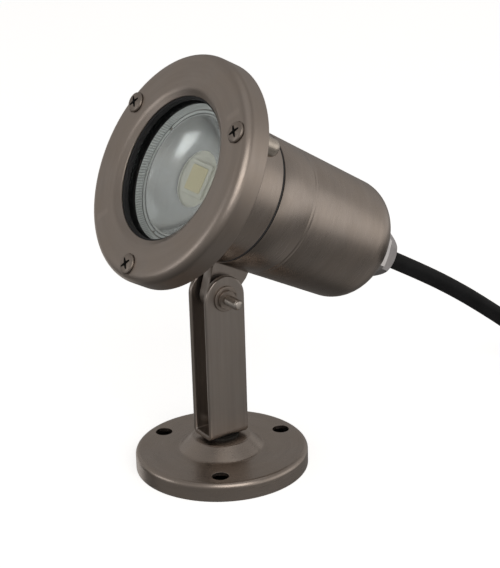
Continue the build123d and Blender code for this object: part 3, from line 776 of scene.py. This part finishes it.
def make_trim_ring():
    low, floor, high = 7.9, 9.9, 11.3
    slope = [(25.45 + 1.15 * k / 9, floor - (floor - low) * k / 9) for k in range(10)]
    outline = [Vector(p) for p in [(24.0, floor + 0.3), (24.12, floor), (24.8, floor), (24.88, floor + 0.1),
                                   (24.9, floor + 0.75), (25.38, floor + 0.75), (25.4, floor + 0.1), *slope,
                                   (26.75, low), (26.8, low + 0.1), (26.8, high), (24.0, high)]]

    def ribs(i, radius, angle):
        if not 7 <= i <= 16:
            return 0
        return 0.2 * (1 + sin(angle * RIBS + radius * RIB_SLANT))

    ring = new_object("trim_ring_look", lathe_mesh(outline, 900, ribs), LAMP)
    for angle in (-147, -258):
        block = [Vector(p) for p in ((-0.9, -0.8), (0.6, -0.8), (0.6, 0.8), (-0.9, 0.8))]
        spot = LAMP @ Matrix.Rotation(radians(angle), 4, "Z") @ Matrix.Translation((0.0243, 0, 0))
        cutter = new_object("notch", prism_mesh(block, low - 0.5, floor + 0.8), spot)
        boolean(ring, cutter)
    place_piece(ring, "head", "grey_ring", "trim_ring")


def make_light_engine():
    foot_r, rim_r, foot, rim = 11.0, 23.0, 15.2, 10.0
    radius = ((rim_r - foot_r) ** 2 + (foot - rim) ** 2) / (2 * (foot - rim))
    sweep = acos(1 - (foot - rim) / radius)
    bowl = [Vector((foot_r + radius * sin(sweep * k / 24), foot - radius * (1 - cos(sweep * k / 24))))
            for k in range(25)]
    outline = [Vector((foot_r, foot + 0.6)), *bowl, Vector((rim_r + 0.1, rim - 0.05)),
               Vector((rim_r + 0.7, rim)), Vector((rim_r + 0.75, rim + 0.3))]
    outline += [Vector((p.x + 0.3, p.y + 0.8)) for p in reversed(bowl[1:])]
    bowl_obj = new_object("reflector_look", lathe_mesh(outline, 160), LAMP)
    place_piece(bowl_obj, "head", "reflector_metal", "reflector")

    board = lathe("led_board_look", [(0, 16.1), (15, 16.1, 0.15), (15, 17.8, 0.15), (0, 17.8)], LAMP, 96)
    place_piece(board, "head", "ceramic_board", "led_board")
    square = rounded([(-6.5, -6.5, 0.6), (6.5, -6.5, 0.6), (6.5, 6.5, 0.6), (-6.5, 6.5, 0.6)])
    chip = new_object("led_chip_look", prism_mesh(square, 15.1, 16.05, edge=0.12), LAMP)
    place_piece(chip, "head", "ceramic_board", "led_chip")
    square = rounded([(-4.9, -4.9, 0.5), (4.9, -4.9, 0.5), (4.9, 4.9, 0.5), (-4.9, 4.9, 0.5)])
    phosphor = new_object("led_phosphor_look", prism_mesh(square, 14.7, 15.08, edge=0.15), LAMP)
    place_piece(phosphor, "head", "phosphor", "led_phosphor")


# ---------------------------------------------------------------- body of the lamp
SEAM, SEAM_R, CAN_END, CAN_END_R = 34.75, 26.35, 88.3, 24.1
CAN_BACK = GLAND_END - 9.4


def can_r(depth):
    return SEAM_R - (SEAM_R - CAN_END_R) / (CAN_END - SEAM) * (depth - SEAM)


def make_housing():
    outline = rounded([
        (33.45, 3.0), (42.35, 3.0, 0.2), (42.35, 8.0, 0.2), (34.4, 8.0, 0.2), (34.4, 11.6, 1.0),
        (27.55, 11.6), (27.55, 9.45), (33.45, 9.45)], 6)
    flange = new_object("front_flange_look", lathe_mesh(smooth_steps(outline), 160), LAMP)
    for place in screw_places():
        drill(flange, 3.72, 0, 20, place)
    place_piece(flange, "head", "stainless", "front_flange")
    edge = SEAM - 0.45
    outline = rounded([
        (26.9, 9.5), (can_r(9.5), 9.5), (can_r(11.6) + 0.7, 11.62), (can_r(12.4), 12.4, 0.8),
        (can_r(edge), edge, 0.35), (24.2, edge), (24.2, 44, 0.4), (22.0, 44, 0.4), (22.0, 32.0),
        (24.4, 31.5), (24.4, 10.5), (26.9, 10.5)], 6)
    sleeve = new_object("front_sleeve_look", lathe_mesh(smooth_steps(outline), 160), LAMP)
    place_piece(sleeve, "head", "stainless", "front_sleeve")
    bosses = [lathe("boss", [(2.02, 3.0), (3.5, 3.0), (3.5, 19.4, 2.9), (0, 19.4), (0, 16.1), (2.02, 16.1)],
                    LAMP @ place, 64, 8) for place in screw_places()]
    joined = join("screw_bosses_look", bosses)
    place_piece(joined, "head", "stainless", "screw_bosses", material="boss_steel")
    seal = lathe("body_seal_look", [(24.3, SEAM - 0.4), (26.2, SEAM - 0.4, 0.3), (26.2, SEAM + 0.4, 0.3),
                                    (24.3, SEAM + 0.4)], LAMP, 144)
    place_piece(seal, "head", "black_rubber", "body_seal")


def make_can():
    low = SEAM + 0.45
    outer = [Vector((can_r(low) - 0.35, low)), Vector((can_r(low) - 0.1, low + 0.12)),
             Vector((can_r(low), low + 0.4))]
    rolled_line = ((50.6, 0), (50.9, 0.06), (51.2, 0.11), (51.5, 0.05), (51.8, 0.0),
                   (52.2, 0.0), (52.5, 0.05), (52.8, 0.11), (53.1, 0.06), (53.4, 0))
    outer += [Vector((can_r(depth) - dent, depth)) for depth, dent in rolled_line]
    outer += [Vector((can_r(CAN_END - 0.5), CAN_END - 0.5)), Vector((CAN_END_R, CAN_END))]
    shoulder_r, shoulder, dome_r, dome = 13.0, radians(55), 45.0, radians(17)
    for k in range(1, 17):
        a = shoulder * k / 16
        outer.append(Vector((CAN_END_R - shoulder_r * (1 - cos(a)), CAN_END + shoulder_r * sin(a))))
    turn = outer[-1] - Vector((dome_r * cos(shoulder), dome_r * sin(shoulder)))
    for k in range(1, 9):
        a = shoulder + dome * k / 8
        outer.append(turn + Vector((dome_r * cos(a), dome_r * sin(a))))
    top = outer[-1].y
    outer.append(Vector((6.1, top)))
    inner = [Vector((6.1, top - 1.6))]
    for k in range(8, -1, -1):
        a = shoulder + dome * k / 8
        inner.append(turn + Vector(((dome_r - 1.6) * cos(a), (dome_r - 1.6) * sin(a))))
    inner += [Vector((CAN_END_R - 1.6, CAN_END)), Vector((can_r(low) - 1.6, low))]
    can = new_object("rear_can_look", lathe_mesh(outer + inner, 192), LAMP)
    place_piece(can, "head", "stainless", "rear_can")


def hull(points):
    """Convex outline of flat points, anticlockwise."""
    ordered = sorted(points)
    chains = []
    for run in (ordered, ordered[::-1]):
        chain = []
        for p in run:
            while len(chain) > 1 and ((chain[-1][0] - chain[-2][0]) * (p[1] - chain[-2][1])
                                      - (chain[-1][1] - chain[-2][1]) * (p[0] - chain[-2][0])) <= 0:
                chain.pop()
            chain.append(p)
        chains += chain[:-1]
    return [Vector(p) for p in chains]


PIVOT_LOCAL = LAMP.inverted() @ PIVOT
LUG_PLANE = LAMP @ Matrix(((0, 0, -1, 0), (0, 1, 0, 0), (1, 0, 0, 0), (0, 0, 0, 1)))


def make_lug():
    depth, drop = PIVOT_LOCAL.z / MM, PIVOT_LOCAL.y / MM
    end = [(depth + 6 * cos(2 * pi * k / 64), drop + 6 * sin(2 * pi * k / 64)) for k in range(64)]
    foot = [(depth - 8.5, 25.0), (depth + 8.5, 25.0), (depth + 8.5, 27.5), (depth - 8.5, 27.5)]
    lug = new_object("tilt_lug_look", prism_mesh(hull(end + foot), -2.5, 2.5, edge=0.35), LUG_PLANE)
    drill(lug, 2.08, -4, 4, Matrix.Translation((depth * MM, drop * MM, 0)))
    place_piece(lug, "head", "stainless_bracket", "tilt_lug")


def make_gland():
    collar, thread_r = CAN_BACK + 3.8, 7.0
    body = hexagon("gland_hex", 19.0, CAN_BACK + 0.05, collar, LAMP, 0.6, turn=radians(-10))
    neck = lathe("gland_neck", [
        (5.2, CAN_BACK - 6.5), (6.05, CAN_BACK - 6.5), (6.05, CAN_BACK + 0.1),
        (thread_r, CAN_BACK + 0.2), (thread_r, GLAND_END - 4.4), (5.2, GLAND_END - 4.4)], LAMP, 64)
    drill(body, 6.9, 90, 120)
    place_piece(join("gland_body_look", [body, neck]), "head", "gland_metal", "gland_body")
    low = collar + 0.1
    corner = 17.0 / 2 / cos(pi / 6)
    dome = [(0, low), (8.4, low), (corner + 0.1, low + 0.5), (corner + 0.1, GLAND_END - 2.6),
            (corner - 0.5, GLAND_END - 1.5), (corner - 1.7, GLAND_END - 0.55), (6.6, GLAND_END), (0, GLAND_END)]
    cap = hexagon("gland_nut_look", 17.0, low, GLAND_END, LAMP, dome=dome)
    drill(cap, 3.7, low - 1, GLAND_END + 1)
    drill(cap, 7.1, low - 1, GLAND_END - 1.8)
    place_piece(cap, "head", "gland_metal", "gland_nut", material="gland_cap")


# ---------------------------------------------------------------- cable
CABLE_R = 3.5
COIL_CENTRE, COIL_START_ANGLE = Vector((32.0, 206.0)), 190.0
COIL_OUTER, COIL_INNER, COIL_END = 40.0, 26.0, 40.86
TURNS_BELOW, TURNS_ABOVE, CLIMB = 2.0, 2.123, 0.2
LOW_Z, HIGH_Z = 4.5, 11.5
ROUTE = [(0.0, 79.46, 68.37), (0.0, 98.4, 57.4), (0.8, 118.2, 44.6), (1.6, 137.0, 30.6), (0.9, 153.5, 17.6),
         (-1.4, 168.5, 8.2), (-4.42, 182.21, LOW_Z)]


def coil_point(turn):
    """Place on the coil's centreline after that many turns."""
    if turn < TURNS_BELOW:
        radius, z = COIL_OUTER + (COIL_INNER - COIL_OUTER) * turn / TURNS_BELOW, LOW_Z
    else:
        climbed = min(1, (turn - TURNS_BELOW) / CLIMB)
        out = max(0, turn - TURNS_BELOW - CLIMB) / (TURNS_ABOVE - CLIMB)
        radius = COIL_INNER - 0.45 * sin(pi * climbed) + (COIL_END - COIL_INNER) * out
        z = LOW_Z + (HIGH_Z - LOW_Z) * climbed ** 2 * (3 - 2 * climbed)
    angle = radians(COIL_START_ANGLE - 360 * turn)
    return Vector((COIL_CENTRE.x + radius * cos(angle), COIL_CENTRE.y + radius * sin(angle), z))


def make_cable():
    per_turn = 24
    all_turns = TURNS_BELOW + TURNS_ABOVE
    turns = [k / per_turn for k in range(int(all_turns * per_turn))] + [all_turns]
    control = [Vector(p) * MM for p in ROUTE] + [coil_point(t) * MM for t in turns]
    line = along_curve(control)
    cable = new_object("power_cable_look", tube_mesh(line, CABLE_R * MM, 28))
    place_piece(cable, None, "cable_rubber", "power_cable", "cable_coil")

    end, before = line[-1], line[-2]
    ahead = (end - before).normalized()
    side = Vector((-ahead.y, ahead.x, 0))
    cores = []
    for offset, colour in ((-1, "core_brown"), (0, "core_green"), (1, "core_blue")):
        up = Vector((0, 0, 0.0009 if offset == 0 else -0.0006))
        start_at = end - ahead * 0.002 + side * offset * 0.0013 + up
        path = along_curve([start_at, start_at + ahead * 0.006,
                            end + ahead * 0.012 + side * offset * 0.0022 - Vector((0, 0, 0.0014)),
                            end + ahead * 0.0185 + side * offset * 0.0027 - Vector((0, 0, 0.0021))])
        core = new_object(colour, tube_mesh(path, 0.0011, 16))
        place_piece(core, "yoke", "core_insulation", material=colour)
        tip_dir = (path[-1] - path[-2]).normalized()
        bare = [path[-1] - tip_dir * 0.001, path[-1] + tip_dir * 0.0045]
        tip = new_object(colour + "_tip", tube_mesh(bare, 0.0006, 12))
        place_piece(tip, "yoke", "core_insulation", material="copper")
        cores += [core, tip]
    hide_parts("cable_cores")

    middle = COIL_CENTRE + Vector((cos(radians(-25)), sin(radians(-25)))) * (COIL_OUTER + COIL_INNER) / 2
    frame_at = Matrix.Translation((middle.x * MM, middle.y * MM, 8 * MM))
    frame_at = frame_at @ Matrix.Rotation(radians(-25), 4, "Z")
    path = rounded([(-10.75, -7.2, 3.6), (10.75, -7.2, 3.6), (10.75, 7.2, 3.6), (-10.75, 7.2, 3.6)], 6)
    bm = bmesh.new()
    rings = []
    for p, after, prior in zip(path, path[1:] + path[:1], path[-1:] + path[:-1]):
        out = (after - prior).normalized()
        out = Vector((out.y, -out.x))
        ring = []
        for depth, y in ((0, -2.1), (0, 2.1), (0.15, 2.25), (0.75, 2.25),
                         (0.85, 2.1), (0.85, -2.1), (0.75, -2.25), (0.15, -2.25)):
            q = p + out * depth
            ring.append(bm.verts.new((q.x * MM, y * MM, q.y * MM)))
        rings.append(ring)
    for one, two in zip(rings, rings[1:] + rings[:1]):
        for k in range(8):
            j = (k + 1) % 8
            bm.faces.new((one[k], one[j], two[j], two[k]))
    tie = new_object("cable_tie_look", bm, frame_at)
    place_piece(tie, "yoke", "black_rubber", "cable_tie")

    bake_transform(cable)


# ---------------------------------------------------------------- CAD nodes that keep their own mesh
def finish_cad_nodes():
    """Material for each CAD node that still shows or is inside."""
    slots = {part["node"]: part["material_slot"] for part in frame["record"]["subparts"]}
    for name, node in frame["nodes"].items():
        if node.hide_render:
            continue
        slot = slots[name]
        node.data.materials.clear()
        node.data.materials.append(MATERIAL[slot if slot in MATERIAL else "core_brown"])


# ---------------------------------------------------------------- floor and light
def area_light(name, at, target, size, power, colour=(1, 1, 1), size_y=None):
    data = bpy.data.lights.new(name, "AREA")
    data.shape = "RECTANGLE"
    data.size, data.size_y, data.energy, data.color = size, size_y or size, power, colour
    light = bpy.data.objects.new(name, data)
    light.location = at
    light.rotation_euler = (Vector(target) - Vector(at)).to_track_quat("-Z", "Y").to_euler()
    bpy.context.scene.collection.objects.link(light)
    return light


def warm_grey(value):
    return rgb(value, value * 0.965, value * 0.93)


def make_studio():
    bm = bmesh.new()
    bmesh.ops.create_grid(bm, x_segments=1, y_segments=1, size=6.0)
    floor = new_object("floor", bm)
    material, tree, bsdf = start("floor")
    bsdf.inputs["Base Color"].default_value = rgb(0.93, 0.93, 0.925)
    bsdf.inputs["Roughness"].default_value = 0.8
    bsdf.inputs["Specular IOR Level"].default_value = 0.1
    bsdf.inputs["Emission Color"].default_value = rgb(1, 1, 1)
    bsdf.inputs["Emission Strength"].default_value = 0.66
    floor.data.materials.append(material)
    floor.visible_glossy = False
    # painted shade: a near-black disc in the base's hollow, so that its holes look black instead of showing the
    # bright floor
    under = lathe("painted_shade_under_base", [(0, 0.1), (31.5, 0.1), (31.5, 0.4), (0, 0.4)])
    under.data.materials.append(MATERIAL["dark"])

    world = bpy.data.worlds.new("studio")
    world.use_nodes = True
    sky = world.node_tree
    direction = add(sky, "ShaderNodeTexCoord").outputs["Generated"]
    height = add(sky, "ShaderNodeSeparateXYZ", {0: direction}).outputs[2]
    ramp = add(sky, "ShaderNodeValToRGB", {"Fac": spread(sky, height, -1, 1, 0, 1)})
    elements = ramp.color_ramp.elements
    elements[0].color, elements[1].color = warm_grey(0.07), warm_grey(0.24)
    for place, value in ((0.12, 0.11), (0.32, 0.20), (0.5, 0.25), (0.66, 0.37), (0.85, 0.30)):
        elements.new(place).color = warm_grey(value)

    def facing(aim, edge, full):
        toward = add(sky, "ShaderNodeVectorMath", {0: direction, 1: aim},
                     operation="DOT_PRODUCT").outputs["Value"]
        return spread(sky, toward, edge, full, 0, 1)

    shaded = ramp.outputs["Color"]
    patches = (((-0.93, -0.08, -0.36), 0.88, 0.97, 0.60), ((-0.78, -0.51, -0.36), 0.94, 0.98, 0.10),
               ((-0.78, 0.51, 0.36), 0.90, 0.97, 0.27), ((0.25, 0.52, -0.82), 0.88, 0.97, 0.22))
    for aim, edge, full, value in patches:
        shaded = blend_colour(sky, facing(aim, edge, full), shaded, warm_grey(value))
    rise = maths(sky, "MULTIPLY", spread(sky, height, -0.28, -0.19, 0, 1),
                 spread(sky, height, -0.05, 0.50, 1, 0))
    window = maths(sky, "MULTIPLY", facing((0.62, 0.78, 0.0), 0.35, 0.75), rise)
    shaded = blend_colour(sky, window, shaded, warm_grey(0.62))
    sky.links.new(shaded, sky.nodes["Background"].inputs["Color"])
    sky.nodes["Background"].inputs["Strength"].default_value = 1.0
    bpy.context.scene.world = world

    area_light("side", (0.85, 1.0, 0.35), (0, 0.03, 0.1), 0.95, 0.5, (1.0, 0.97, 0.94), size_y=0.62)
    area_light("key", (1.1, -0.35, 0.75), (0, 0.03, 0.08), 1.0, 5.0, (1.0, 0.97, 0.94))
    area_light("top", (0.0, 0.1, 1.4), (0, 0.03, 0.05), 1.2, 0.8)
    area_light("left", (-0.5, -1.2, 0.25), (0, 0.02, 0.08), 0.6, 0.9)
    scene = bpy.context.scene
    scene.view_settings.view_transform = "Standard"
    scene.view_settings.look = "None"


# ---------------------------------------------------------------- build
make_camera()
make_cable()
make_base()
make_yoke()
make_tilt_bolt()
make_bezel()
make_screws()
make_glass_stack()
make_trim_ring()
make_light_engine()
make_housing()
make_can()
make_lug()
make_gland()
finish_cad_nodes()
make_studio()
